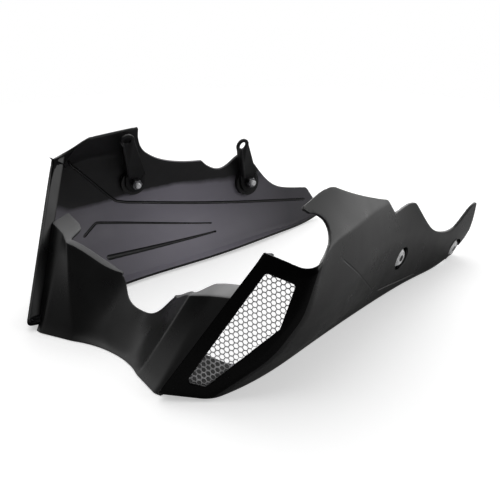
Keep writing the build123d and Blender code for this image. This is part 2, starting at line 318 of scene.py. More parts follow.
class Sheet:
    """A grid of points that is trimmed along outlines and made into a mesh."""

    def __init__(self, grid: np.ndarray) -> None:
        """Keeps the grid, with nothing trimmed yet.

        Args:
            grid: an array of columns of points.
        """
        self.grid = grid
        self.keep = np.full(grid.shape[:2], np.inf)
        self.cells = np.ones((grid.shape[0] - 1, grid.shape[1] - 1), bool)
        self.finishes = np.zeros(self.cells.shape, int)

    def flat(self) -> np.ndarray:
        """All the grid's points in one list."""
        return self.grid.reshape(-1, 3)

    def trim(self, distance: np.ndarray) -> None:
        """Cuts away where a signed distance, one for each point, is negative."""
        self.keep = np.minimum(self.keep, distance.reshape(self.keep.shape))

    def polygons(self) -> tuple[list, list, list]:
        """What is left of each cell after trimming.

        Returns:
            The points, the polygons as lists of point numbers, and the number of each polygon's finish.
        """
        points = list(self.flat())
        keep = self.keep.reshape(-1)
        columns = self.grid.shape[1]
        cuts: dict[tuple[int, int], int] = {}
        polygons, finishes = [], []
        for i, j in zip(*np.nonzero(self.cells)):
            corner = i * columns + j
            cell = [corner, corner + columns, corner + columns + 1, corner + 1]
            polygon = []
            for a, b in zip(cell, cell[1:] + cell[:1]):
                if keep[a] > 0:
                    polygon.append(a)
                if (keep[a] > 0) != (keep[b] > 0):
                    key = (min(a, b), max(a, b))
                    if key not in cuts:
                        share = keep[a] / (keep[a] - keep[b])
                        cuts[key] = len(points)
                        points.append(points[a] + (points[b] - points[a]) * share)
                    polygon.append(cuts[key])
            if len(polygon) > 2:
                polygons.append(polygon)
                finishes.append(int(self.finishes[i, j]))
        return points, polygons, finishes

    def mesh(self, name: str, merge: float, flip: bool) -> bpy.types.Mesh:
        """The trimmed sheet as a mesh in metres.

        Args:
            name: the mesh's name.
            merge: points closer than this are joined, in millimetres.
            flip: whether the faces are turned over.

        Returns:
            The mesh.
        """
        points, polygons, finishes = self.polygons()
        shape = bmesh.new()
        verts = [shape.verts.new(place(point)) for point in points]
        for polygon, finish in zip(polygons, finishes):
            face = shape.faces.new([verts[k] for k in (reversed(polygon) if flip else polygon)])
            face.material_index = finish
        bmesh.ops.delete(shape, geom=[v for v in shape.verts if not v.link_faces], context="VERTS")
        bmesh.ops.remove_doubles(shape, verts=shape.verts, dist=merge * MILLIMETRE)
        bmesh.ops.dissolve_degenerate(shape, edges=shape.edges, dist=merge * MILLIMETRE / 2)
        return to_mesh(shape, name)


def drawing_shift() -> Vector:
    """Where the drawing's origin lies in the frame, from the left panel's tail and the floor.

    Returns:
        The origin's place in metres.
    """
    tail_x = -452.0
    ground_z = -2.3
    low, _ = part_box("left_side_panel")
    return Vector((low.x - tail_x * MILLIMETRE, 0.0, -ground_z * MILLIMETRE))


SHIFT = drawing_shift()


def place(point: Point) -> Vector:
    """A drawn point, in millimetres, as a point of the frame, in metres."""
    return Vector((float(point[0]), float(point[1]), float(point[2]))) * MILLIMETRE + SHIFT


def to_mesh(shape: bmesh.types.BMesh, name: str) -> bpy.types.Mesh:
    """Turns a shape into a mesh, and frees the shape.

    Args:
        shape: the shape.
        name: the mesh's name.

    Returns:
        The mesh.
    """
    data = bpy.data.meshes.new(name)
    shape.to_mesh(data)
    shape.free()
    return data


def node_shape(node: str) -> bmesh.types.BMesh:
    """A node's own mesh as a shape, with its facets joined at their corners.

    Args:
        node: the node's name.

    Returns:
        The shape.
    """
    shape = bmesh.new()
    shape.from_mesh(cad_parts[node].data)
    bmesh.ops.remove_doubles(shape, verts=shape.verts, dist=SAME_NODE_POINT)
    return shape


def add_object(name: str, data: bpy.types.Mesh, *finishes: "Finish") -> bpy.types.Object:
    """Links a new mesh object to the scene.

    Args:
        name: the object's name.
        data: its mesh.
        finishes: its finishes, in the order of the numbers that its faces hold.

    Returns:
        The object.
    """
    for finish in finishes:
        data.materials.append(finish.material())
    piece = bpy.data.objects.new(name, data)
    bpy.context.scene.collection.objects.link(piece)
    return piece


def settle(piece: bpy.types.Object) -> None:
    """Applies all of an object's modifiers to its mesh.

    Args:
        piece: the object.
    """
    graph = bpy.context.evaluated_depsgraph_get()
    graph.update()
    settled = bpy.data.meshes.new_from_object(piece.evaluated_get(graph))
    old = piece.data
    piece.modifiers.clear()
    piece.data = settled
    bpy.data.meshes.remove(old)


def thicken(piece: bpy.types.Object, wall: float, round_off: float) -> None:
    """Gives a sheet its wall, inwards, and rounds the wall's edges.

    Args:
        piece: the sheet's object.
        wall: the wall's thickness in millimetres.
        round_off: the width of the rounded edges in millimetres.
    """
    solid = piece.modifiers.new("wall", "SOLIDIFY")
    solid.thickness = wall * MILLIMETRE
    solid.offset = -1
    solid.use_even_offset = True
    solid.material_offset = 1
    round_edges(piece, round_off)


def round_edges(piece: bpy.types.Object, width: float, angle: float = 40.0, steps: int = 2) -> None:
    """Rounds an object's sharp edges with a bevel.

    Args:
        piece: the object.
        width: the bevel's width in millimetres.
        angle: edges sharper than this are rounded, in degrees.
        steps: the bevel's segments.
    """
    bevel = piece.modifiers.new("edges", "BEVEL")
    bevel.width = width * MILLIMETRE
    bevel.segments = steps
    bevel.limit_method = "ANGLE"
    bevel.angle_limit = math.radians(angle)
    bevel.use_clamp_overlap = False
    bevel.miter_outer = "MITER_ARC"
    settle(piece)


def combine(piece: bpy.types.Object, tool: bpy.types.Object, operation: Tool) -> None:
    """Joins a tool to an object or cuts it out, and removes the tool.

    Args:
        piece: the object that changes.
        tool: the tool's object.
        operation: whether the tool is joined or cut out.

    Raises:
        RuntimeError: if the tool changed nothing.
    """
    cut = piece.modifiers.new("tool", "BOOLEAN")
    cut.object = tool
    cut.operation = operation.value
    cut.solver = "MANIFOLD"
    before = len(piece.data.polygons)
    settle(piece)
    if len(piece.data.polygons) == before:
        raise RuntimeError(f"{operation.value} left {piece.name} as it was")
    data = tool.data
    bpy.data.objects.remove(tool)
    bpy.data.meshes.remove(data)


def shade(piece: bpy.types.Object, angle: float = 32.0) -> None:
    """Smooth shading, with edges sharper than an angle in degrees left crisp."""
    piece.data.shade_smooth()
    piece.data.set_sharp_from_angle(angle=math.radians(angle))


def bridge(shape: bmesh.types.BMesh, first: list, second: list) -> None:
    """Joins two loops of as many points with four-sided faces.

    Args:
        shape: the shape that takes the faces.
        first: the points of one loop.
        second: the points of the next.
    """
    for k in range(len(first)):
        nxt = (k + 1) % len(first)
        shape.faces.new([first[k], first[nxt], second[nxt], second[k]])


def add_skin(shape: bmesh.types.BMesh, rings: Sequence[Sequence[Point]], closed: bool) -> None:
    """Adds a skin over rings of points, one after the other.

    Args:
        shape: the shape that takes the skin.
        rings: rings with the same number of points, in metres.
        closed: whether the last ring joins the first; if not, both ends are capped.
    """
    loops = [[shape.verts.new(point) for point in points] for points in rings]
    followers = loops[1:] + loops[:1] if closed else loops[1:]
    for first, second in zip(loops, followers):
        bridge(shape, first, second)
    if not closed:
        shape.faces.new(list(reversed(loops[0])))
        shape.faces.new(loops[-1])


def rings_mesh(name: str, rings: Sequence[np.ndarray], closed: bool) -> bpy.types.Mesh:
    """A mesh from rings of points, one after the other.

    Args:
        name: the mesh's name.
        rings: arrays with the same number of points, in metres.
        closed: whether the last ring joins the first; if not, both ends are capped.

    Returns:
        The mesh.
    """
    shape = bmesh.new()
    add_skin(shape, rings, closed)
    bmesh.ops.remove_doubles(shape, verts=shape.verts, dist=SAME_RING_POINT)
    bmesh.ops.recalc_face_normals(shape, faces=shape.faces)
    return to_mesh(shape, name)


@dataclass(frozen=True)
class Seat:
    """Where a bolt sits: a place on its axis and the way that its head faces."""

    origin: Vector
    axis: Vector

    def matrix(self) -> Matrix:
        """The move that puts a piece turned about Z on the seat."""
        return Matrix.Translation(self.origin) @ self.axis.to_track_quat("Z", "Y").to_matrix().to_4x4()


def seats_of(node: str, side: Side) -> list[Seat]:
    """The seats of the washers in a node, from the node's own mesh.

    Args:
        node: the washers' node.
        side: the side that their bolts face.

    Returns:
        A list of seats, from front to back.
    """
    shape = node_shape(node)
    left = set(shape.verts)
    seats = []
    while left:
        island = {left.pop()}
        edge = list(island)
        while edge:
            vert = edge.pop()
            fresh = [v for v in (e.other_vert(vert) for e in vert.link_edges) if v in left]
            left.difference_update(fresh)
            island.update(fresh)
            edge.extend(fresh)
        seats.append(seat_of(np.array([v.co for v in shape.verts if v in island]), side))
    shape.free()
    return sorted(seats, key=lambda seat: -seat.origin.x)


def seat_of(points: np.ndarray, side: Side) -> Seat:
    """The seat of one washer, whose axis is the way in which its points spread least.

    Args:
        points: the washer's points.
        side: the side that its bolt faces.

    Returns:
        The seat, on the washer's flat side.
    """
    centre = points.mean(axis=0)
    axis = np.linalg.eigh(np.cov((points - centre).T))[1][:, 0]
    axis = axis * np.sign(axis[1] * side.value)
    base = ((points - centre) @ axis).min()
    return Seat(Vector(centre + axis * base), Vector(axis))


@dataclass(frozen=True)
class Rail:
    """One rail of a side panel: two points before the fold, the fold's corner and the way to the tail."""

    start: np.ndarray
    edge: np.ndarray
    corner: np.ndarray
    side: Sequence[Point]

    def points(self, form: "PanelForm") -> np.ndarray:
        """Fine points along the rail, as many on each rail of a form.

        Args:
            form: the form that the rail belongs to.

        Returns:
            An array of points from the return wall to the tail.
        """
        reach = form.fold_reach
        track = [self.corner, *np.array(self.side, float)]
        length = np.linalg.norm(np.diff(np.array(track), axis=0), axis=1).sum()
        tail = smooth_line(track, np.linspace(reach / length, 1, form.side_steps + 1))
        bend = fold(self.edge, self.corner, tail[0], reach)
        bend = (bend[0], bend[1], tail[0])
        front = [self.start, *run(self.start, self.edge, form.return_steps), self.edge]
        front += run(self.edge, bend[0], form.pod_steps)
        return np.array(front + along_fold(bend, form.fold_steps) + list(tail[1:]))


@dataclass(frozen=True)
class PanelForm:
    """The outer form that both side panels share, drawn on the left.

    Points with two values are places on the pod face, across and up, and those with three are in space.
    """

    pod: PodPlane = PodPlane()
    edge_bottom: Point = (1.0, 0.5)
    edge_top: Point = (100.3, 137.7)
    return_depth: float = 16.0
    fold_reach: float = 9.0
    bottom_reach: float = 7.0
    middle_reach: float = 16.0
    belt_reach: float = 11.0
    shoulder_reach: float = 4.0
    return_steps: int = 6
    pod_steps: int = 56
    fold_steps: int = 10
    side_steps: int = 130
    row_steps: int = 14
    flange_steps: int = 6
    flange_start: Sequence[Point] = ((-60, 70, 1), (-70, 70, 1))
    flange: Sequence[Point] = (
        (-74, 101, 0), (-128, 104, 0), (-250, 91, 0), (-345, 88, 0), (-400, 91, 0), (-430, 90.5, 7.5),
        (-455, 90, 18),
    )
    bottom_corner: Point = (46, -4)
    bottom: Sequence[Point] = (
        (-72, 130.5, -2), (-142, 122, -2), (-250, 107.5, -2), (-345, 100, -2), (-400, 97, -2),
        (-430, 95.5, 5), (-455, 95, 19),
    )
    middle_corner: Point = (100, 34)
    middle: Sequence[Point] = ((-155, 153, 36), (-250, 128, 34), (-345, 110.5, 26), (-455, 100, 31))
    belt_corner: Point = (126, 70)
    belt: Sequence[Point] = ((-160, 164, 72), (-256, 136, 77), (-348, 116.5, 58), (-458, 103.5, 46))
    shoulder_corner: Point = (139, 110)
    shoulder: Sequence[Point] = (
        (-130, 168, 123), (-172, 155, 122), (-257, 129, 117), (-352, 117, 85), (-459, 105, 60),
    )
    crown_corner: Point = (-106, 157, 142)
    crown: Sequence[Point] = (
        (-121, 140, 156), (-172, 130, 159), (-257, 125.5, 124), (-352, 117, 108), (-415, 110.5, 84),
        (-460, 105, 75),
    )

    def return_point(self, rise: float, back: float) -> np.ndarray:
        """A point of the pod's return wall.

        Args:
            rise: the part of the pod edge's length that it is up.
            back: how far it is behind the edge.

        Returns:
            The point.
        """
        bottom = self.pod.point(self.edge_bottom)
        edge = bottom + (self.pod.point(self.edge_top) - bottom) * rise
        return edge - np.array([back, back / self.return_depth, 0])

    def pod_rail(self, rise: float, corner: np.ndarray, side: Sequence[Point]) -> Rail:
        """A rail that starts on the pod edge, a part of the edge's length up."""
        return Rail(self.return_point(rise, self.return_depth), self.return_point(rise, 0), corner, side)

    def rails(self) -> list[Rail]:
        """The six rails from the inner flange at the bottom to the crown.

        Returns:
            A list of rails.
        """
        start, edge = (np.array(point, float) for point in self.flange_start)
        corner = np.array(self.flange[0], float)
        return [
            Rail(start, edge, corner, self.flange[1:]),
            self.pod_rail(0, self.pod.point(self.bottom_corner), self.bottom),
            self.pod_rail(0.3, self.pod.point(self.middle_corner), self.middle),
            self.pod_rail(0.55, self.pod.point(self.belt_corner), self.belt),
            self.pod_rail(0.8, self.pod.point(self.shoulder_corner), self.shoulder),
            self.pod_rail(1, np.array(self.crown_corner, float), self.crown),
        ]

    def column(self, flange: np.ndarray, bottom: np.ndarray, middle: np.ndarray, belt: np.ndarray,
               shoulder: np.ndarray, crown: np.ndarray) -> list[np.ndarray]:
        """Fine points across the panel at one place along it, from the flange up to the crown.

        Args:
            flange: the flange's inner edge there.
            bottom: the corner at the ground.
            middle: the soft corner above it.
            belt: the corner at the belt.
            shoulder: the corner at the shoulder.
            crown: the upper end.

        Returns:
            A list of points.
        """
        bends = [
            fold(flange, bottom, middle, self.bottom_reach),
            fold(bottom, middle, belt, self.middle_reach),
            fold(middle, belt, shoulder, self.belt_reach),
            fold(belt, shoulder, crown, self.shoulder_reach),
        ]
        points = [flange, *run(flange, bends[0][0], self.flange_steps)]
        for bend, after in zip(bends, bends[1:] + [None]):
            points += along_fold(bend, self.fold_steps // 2)
            points += run(bend[2], crown if after is None else after[0], self.row_steps)
        return points + [crown]

    def pod_columns(self) -> int:
        """How many columns of cells the return wall, the pod face and half of its fold take."""
        return self.return_steps + self.pod_steps + self.fold_steps // 2

    def flange_rows(self) -> int:
        """How many rows of cells the flange and its fold take."""
        return self.flange_steps + self.fold_steps // 2

    def grid(self) -> np.ndarray:
        """All the fine points, column by column along the panel."""
        rails = [rail.points(self) for rail in self.rails()]
        return np.array([self.column(*places) for places in zip(*rails)])


@dataclass(frozen=True)
class Line:
    """A line moulded in a panel, seen from the side.

    It has a width at both ends, a depth and a length over which it runs out at its ends.
    """

    points: Sequence[Point]
    widths: Pair
    depth: float
    fade: float
    step: float = 2.5
    sides: int = 14
    clear: float = 0.05

    def track(self) -> tuple[np.ndarray, np.ndarray]:
        """Even steps along the line.

        Returns:
            How far along each step is, and its place in the side view.
        """
        corners = np.array(self.points, float)
        lengths = np.concatenate([[0], np.cumsum(np.linalg.norm(np.diff(corners, axis=0), axis=1))])
        ways = np.linspace(0, lengths[-1], int(lengths[-1] / self.step))
        return ways, np.stack([np.interp(ways, lengths, corners[:, k]) for k in (0, 1)], axis=1)

    def section(self, way: float, length: float) -> Pair:
        """The round cutter's section at one step.

        Args:
            way: how far along the line it is.
            length: the line's length.

        Returns:
            Its radius, and how high its middle is over the surface.
        """
        share = way / length
        width = self.widths[0] * (1 - share) + self.widths[1] * share
        sunk = self.depth * min(1.0, min(way, length - way) / self.fade)
        radius = (width**2 / 4 + self.depth**2) / (2 * self.depth)
        return radius, radius - sunk + self.clear

    def cutter(self, tree: BVHTree, side: Side, inside: bool) -> list[list[Vector]]:
        """Rings of points of the round cutter that makes the line in a panel.

        Args:
            tree: the panel's surface.
            side: the panel's side.
            inside: whether the line is on the panel's inside.

        Returns:
            A list of rings, in metres.
        """
        ways, places = self.track()
        start, inwards = (0.0, side.value) if inside else (FAR_OUT * side.value, -side.value)
        hits = [tree.ray_cast(place((x, start, z)), Vector((0, inwards, 0)))[:2] for x, z in places]
        found = [(way, *hit) for way, hit in zip(ways, hits) if hit[0] is not None]
        turns = np.linspace(0, 2 * math.pi, self.sides, endpoint=False)
        rings = []
        for k, (way, spot, normal) in enumerate(found):
            ahead = found[min(k + 1, len(found) - 1)][1] - found[max(k - 1, 0)][1]
            out = normal if normal.y * inwards < 0 else -normal
            across = out.cross(ahead).normalized()
            radius, lift = self.section(way, ways[-1])
            middle = spot + out * lift * MILLIMETRE
            arms = [(out * math.cos(t) + across * math.sin(t)) * radius * MILLIMETRE for t in turns]
            rings.append([middle + arm for arm in arms])
        return rings


@dataclass
class SidePanel:
    """A side moulding with its window, top edge, bolt pockets and lines.

    The window and the scoop are drawn on the pod face, and the top edge and the lines in the side view.
    """

    name: str
    side: Side
    top_edge: Sequence[Sequence[Point]]
    washers: str
    lines: Sequence[Line]
    lines_inside: bool
    scooped: bool
    form: PanelForm = PanelForm()
    wall: float = 3.0
    round_off: float = 0.7
    merge: float = 0.5
    window: Sequence[Point] = ((93.6, 108.6), (118.4, 98.7), (105.6, 60.3), (76, 36), (44, 9.5), (27, 13.5))
    window_corner: float = 3.0
    window_depth: float = 8.0
    scoop_centre: Point = (127.5, 133)
    scoop_radius: float = 20.0
    scoop_wedge: Sequence[Point] = ((20, 155.5), (119.9, 114.5), (139.5, 146.3), (20, 229.6))
    scoop_depth: float = 70.0
    edge_steps: int = 16
    block: Point = (-480, 190, 30)
    pocket_radius: float = 12.5
    pocket_depth: float = 5.0
    boss_wall: float = 2.5
    bolt_hole: float = 3.3
    seats: list[Seat] = field(default_factory=list)

    def edge_outline(self) -> Outline:
        """The outline, in the side view, of all that is cut away above and behind the top edge.

        Returns:
            The outline.
        """
        back, top, front = self.block
        points = []
        for edge in self.top_edge:
            count = len(edge) * self.edge_steps if len(edge) > 2 else 2
            points += list(smooth_line(edge, np.linspace(0, 1, count)))
        first, last = points[0], points[-1]
        points += [(back, last[1]), (back, top), (front, top), (front, first[1])]
        return Outline(np.array(points))

    def trimmed(self) -> Sheet:
        """The panel's outer sheet with its window and edges cut.

        Returns:
            The sheet, on the panel's own side.
        """
        sheet = Sheet(self.form.grid())
        sheet.cells[: self.form.return_steps, : self.form.flange_rows()] = False
        first = 0 if self.scooped else self.form.return_steps
        sheet.finishes[first : self.form.pod_columns()] = OTHER_FINISH
        points = sheet.flat()
        sheet.trim(self.edge_outline().distance(points[:, [0, 2]]))
        local = self.form.pod.local(points)
        window = Outline(self.window).rounded(self.window_corner).distance(local[:, :2])
        sheet.trim(np.where(np.abs(local[:, 2]) < self.window_depth, window, np.inf))
        if self.scooped:
            drum = np.linalg.norm(local[:, :2] - np.array(self.scoop_centre), axis=1) - self.scoop_radius
            wedge = Outline(self.scoop_wedge).distance(local[:, :2])
            near = np.abs(local[:, 2]) < self.scoop_depth
            sheet.trim(np.where(near, np.minimum(drum, wedge), np.inf))
        sheet.grid = sheet.grid * np.array([1, self.side.value, 1])
        return sheet

    def bosses(self) -> bpy.types.Object:
        """The round bosses behind the bolt pockets, cut level with the ground.

        Returns:
            Their object.
        """
        tools = bmesh.new()
        radius = (self.pocket_radius + self.boss_wall) * MILLIMETRE
        top = (self.pocket_depth - self.wall / 2) * MILLIMETRE
        for seat in self.seats:
            add_drum(tools, seat, radius, -self.wall * MILLIMETRE, top)
        for vert in tools.verts:
            vert.co.z = max(vert.co.z, 0.0)
        return tool_object(tools)

    def pockets(self) -> bpy.types.Object:
        """The bolt pockets with their holes, as one cutting tool.

        Returns:
            The tool's object.
        """
        tools = bmesh.new()
        depth = self.pocket_depth * MILLIMETRE
        for seat in self.seats:
            add_drum(tools, seat, self.pocket_radius * MILLIMETRE, 0, 2 * depth)
            add_drum(tools, seat, self.bolt_hole * MILLIMETRE, -2 * depth, depth)
        return tool_object(tools)

    def line_tool(self, piece: bpy.types.Object) -> bpy.types.Object:
        """Round cutters along the moulded lines, laid on the panel's surface.

        Args:
            piece: the panel's object.

        Returns:
            The cutters' object.
        """
        tree = BVHTree.FromObject(piece, bpy.context.evaluated_depsgraph_get())
        tools = bmesh.new()
        for line in self.lines:
            add_skin(tools, line.cutter(tree, self.side, self.lines_inside), False)
        return tool_object(tools)

    def build(self, finishes: Sequence["Finish"]) -> bpy.types.Object:
        """Builds the panel and gives it its finishes.

        Args:
            finishes: those of its outside and inside, and of the outside and inside of its pod.

        Returns:
            The panel's object.
        """
        self.seats = seats_of(self.washers, self.side)
        data = self.trimmed().mesh(self.name, self.merge, self.side is Side.RIGHT)
        piece = add_object(f"{self.name}_moulding", data, *finishes)
        thicken(piece, self.wall, self.round_off)
        combine(piece, self.bosses(), Tool.JOIN)
        combine(piece, self.pockets(), Tool.CUT)
        combine(piece, self.line_tool(piece), Tool.CUT)
        shade(piece)
        return stand_for(piece, Slot.SHELL, self.name)


def tool_object(tools: bmesh.types.BMesh) -> bpy.types.Object:
    """An object for a tool's shape, which is freed."""
    bmesh.ops.recalc_face_normals(tools, faces=tools.faces)
    return add_object("tool", to_mesh(tools, "tool"))


def add_drum(tools: bmesh.types.BMesh, seat: Seat, radius: float, low: float, high: float) -> None:
    """Adds a round plug on a seat's axis to a tool.

    Args:
        tools: the tool's shape.
        seat: the seat.
        radius: the plug's radius, in metres.
        low: its lower height over the seat, in metres.
        high: its upper height.
    """
    move = seat.matrix() @ Matrix.Translation((0, 0, (low + high) / 2))
    bmesh.ops.create_cone(tools, cap_ends=True, segments=DRUM_SIDES, radius1=radius, radius2=radius,
                          depth=high - low, matrix=move)


def stand_for(piece: bpy.types.Object, slot: Slot, *nodes: str) -> bpy.types.Object:
    """Makes a piece ride on the part in place of some nodes.

    Args:
        piece: the piece.
        slot: not used.
        nodes: the nodes that it stands for.

    Returns:
        The piece.
    """
    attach(piece, BODY)
    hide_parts(*nodes)
    LOG.info("%s: %d faces", piece.name, len(piece.data.polygons))
    return piece


def even_curve(points: Sequence[Point], places: np.ndarray) -> np.ndarray:
    """Values on a smooth curve that is the same on both sides of zero.

    Args:
        points: places from zero up, each with the curve's value there.
        places: where the values are wanted.

    Returns:
        An array with a value for each place.
    """
    half = np.array(points, float)
    given = np.concatenate([half[:0:-1] * [-1, 1], half])
    first = given[0, 0]
    knots = given[:, 0] - first
    return smooth_line(given, (np.asarray(places) - first) / knots[-1], knots)[:, 1]


@dataclass
class NosePanel:
    """The moulding between the pods: a smooth bowl with a notch, and a strip with a ledge on each side.

    The bowl leans back from its lip by an amount for each millimetre of height, which changes across it.
    The lip's X, the lean and the top edge's height are given at places across from the middle.
    """

    form: PanelForm = PanelForm()
    wall: float = 3.0
    round_off: float = 0.7
    merge: float = 0.3
    floor: float = -2.0
    lip: Sequence[Point] = (
        (0, -22), (8.5, -21.7), (17, -20.7), (25, -19), (33.5, -16.5), (43, -12.5), (52, -8.5), (67, -4),
        (86, 1),
    )
    lean: Sequence[Point] = (
        (0, 1.19), (17, 1.09), (34, 0.945), (50, 0.79), (66, 0.638), (86, 0.495),
    )
    top: Sequence[Point] = (
        (0, 29.5), (8, 30.2), (16, 32.8), (24, 38.5), (31, 47), (36.5, 52.8), (41, 54.4), (46, 56.4),
        (54, 60.6), (62, 65.6), (70, 70.4), (78, 74.8), (86, 78),
    )
    notch_half: float = 36.0
    crease_foot: float = 47.0
    strip_foot: Point = (0, 82, -2)
    strip_top: Point = (-47.5, 103, 80.5)
    wing: Sequence[Point] = ((-0.038, 14), (0.6, 12))
    wing_clear: Point = (0, -0.8, 0)
    bowl_steps: int = 52
    strip_steps: int = 14
    wing_steps: int = 5
    lip_flare: float = 2.2
    lip_rise: float = 0.08
    lip_reach: float = 5.0
    lip_steps: int = 5
    face_steps: int = 30
    ledge_at: Sequence[float] = (36, 44, 52, 88, 93)
    ledge_share: Sequence[float] = (0, 0.2, 0.3, 0.3, 1)
    ledge_back: Point = (-20, 0, 5)
    ledge_least: float = 0.08
    ledge_reach: float = 2.0
    ledge_steps: int = 5
    soften: int = 1

    def bowl(self, across: np.ndarray, heights: np.ndarray) -> np.ndarray:
        """Where the bowl lies along X at some places across and heights."""
        return even_curve(self.lip, across) - even_curve(self.lean, across) * (heights - self.floor)

    def bowl_ends(self) -> tuple[np.ndarray, np.ndarray]:
        """The ends of the bowl's fine columns on the left, from the middle to the crease.

        Returns:
            The points on the lip and those on the crest.
        """
        crest_y = np.linspace(0, self.top[-1][0], self.bowl_steps + 1)
        crest_z = even_curve(self.top, crest_y)
        foot_y = crest_y * self.crease_foot / crest_y[-1]
        foot_z = np.full(len(foot_y), self.floor)
        feet = np.column_stack([self.bowl(foot_y, foot_z), foot_y, foot_z])
        return feet, np.column_stack([self.bowl(crest_y, crest_z), crest_y, crest_z])

    def ends(self) -> tuple[np.ndarray, ...]:
        """The ends of all the fine columns on the left, from the middle to the wing's tip.

        Returns:
            The points on the lip, those on the crest, and how far each column follows the bowl.
        """
        wing = [self.form.return_point(rise, back) + np.array(self.wing_clear) for rise, back in self.wing]
        lines = []
        for line, strip, tip in zip(self.bowl_ends(), (self.strip_foot, self.strip_top), wing):
            strip = np.array(strip, float)
            side = [*run(line[-1], strip, self.strip_steps), strip]
            side += [*run(strip, tip, self.wing_steps), tip]
            lines.append(np.concatenate([line, side]))
        follows = np.interp(lines[1][:, 1], (self.notch_half, self.top[-1][0]), (1, 0))
        return (*lines, follows)

    def column(self, lip: np.ndarray, crest: np.ndarray, follow: float) -> np.ndarray:
        """Fine points up one column, from the flared lip over the crest to the back of the ledge.

        Args:
            lip: the column's lower end.
            crest: its upper end.
            follow: how far it follows the bowl and isn't straight, from 0 to 1.

        Returns:
            An array of points.
        """
        ledge = np.interp(crest[1], self.ledge_at, self.ledge_share)
        knee = lip + (crest - lip) * self.lip_rise
        flared = lip + np.array([self.lip_flare, 0, 0])
        end = crest + np.array(self.ledge_back) * max(ledge, self.ledge_least)
        bend = fold(flared, knee, crest, self.lip_reach)
        rim = fold(knee, crest, end, self.ledge_reach)
        points = [flared, *run(flared, bend[0], self.lip_steps), *along_fold(bend, self.lip_steps)]
        points += run(bend[2], rim[0], self.face_steps)
        points += along_fold(rim, self.lip_steps) + run(rim[2], end, self.ledge_steps) + [end]
        points = np.array(points)
        share = np.clip((points[:, 2] - lip[2]) / (crest[2] - lip[2]), 0, 1)[:, None]
        straight = lip + (crest - lip) * share
        points[:, 0] += (self.bowl(straight[:, 1], straight[:, 2]) - straight[:, 0]) * follow
        return points

    def sheet(self) -> Sheet:
        """The nose's outer sheet, with its columns softened and its ledges kept.

        Returns:
            The sheet.
        """
        lips, crests, follows = self.ends()
        half = np.array([self.column(*ends) for ends in zip(lips, crests, follows)])
        grid = np.concatenate([half[:0:-1] * np.array([1, -1, 1]), half])
        for _ in range(self.soften):
            grid[1:-1] = (grid[:-2] + 2 * grid[1:-1] + grid[2:]) / 4
        sheet = Sheet(grid)
        ledge_rows = sheet.cells.shape[1] - self.lip_steps - self.ledge_steps
        crest_y = np.abs(grid[:, ledge_rows, 1])
        notched = np.maximum(crest_y[1:], crest_y[:-1]) < self.notch_half
        sheet.cells[notched, ledge_rows:] = False
        sheet.finishes[:, ledge_rows + self.lip_steps // 2 :] = OTHER_FINISH
        return sheet

    def build(self, finishes: Sequence["Finish"]) -> bpy.types.Object:
        """Builds the nose and gives it its finishes.

        Args:
            finishes: those of its outside and inside, and of the outside and inside of its ledges.

        Returns:
            The nose's object.
        """
        data = self.sheet().mesh("nose_panel", self.merge, False)
        piece = add_object("nose_panel_moulding", data, *finishes)
        thicken(piece, self.wall, self.round_off)
        for vert in piece.data.vertices:
            vert.co.z = max(vert.co.z, 0.0)
        shade(piece)
        return stand_for(piece, Slot.SHELL, "nose_panel")


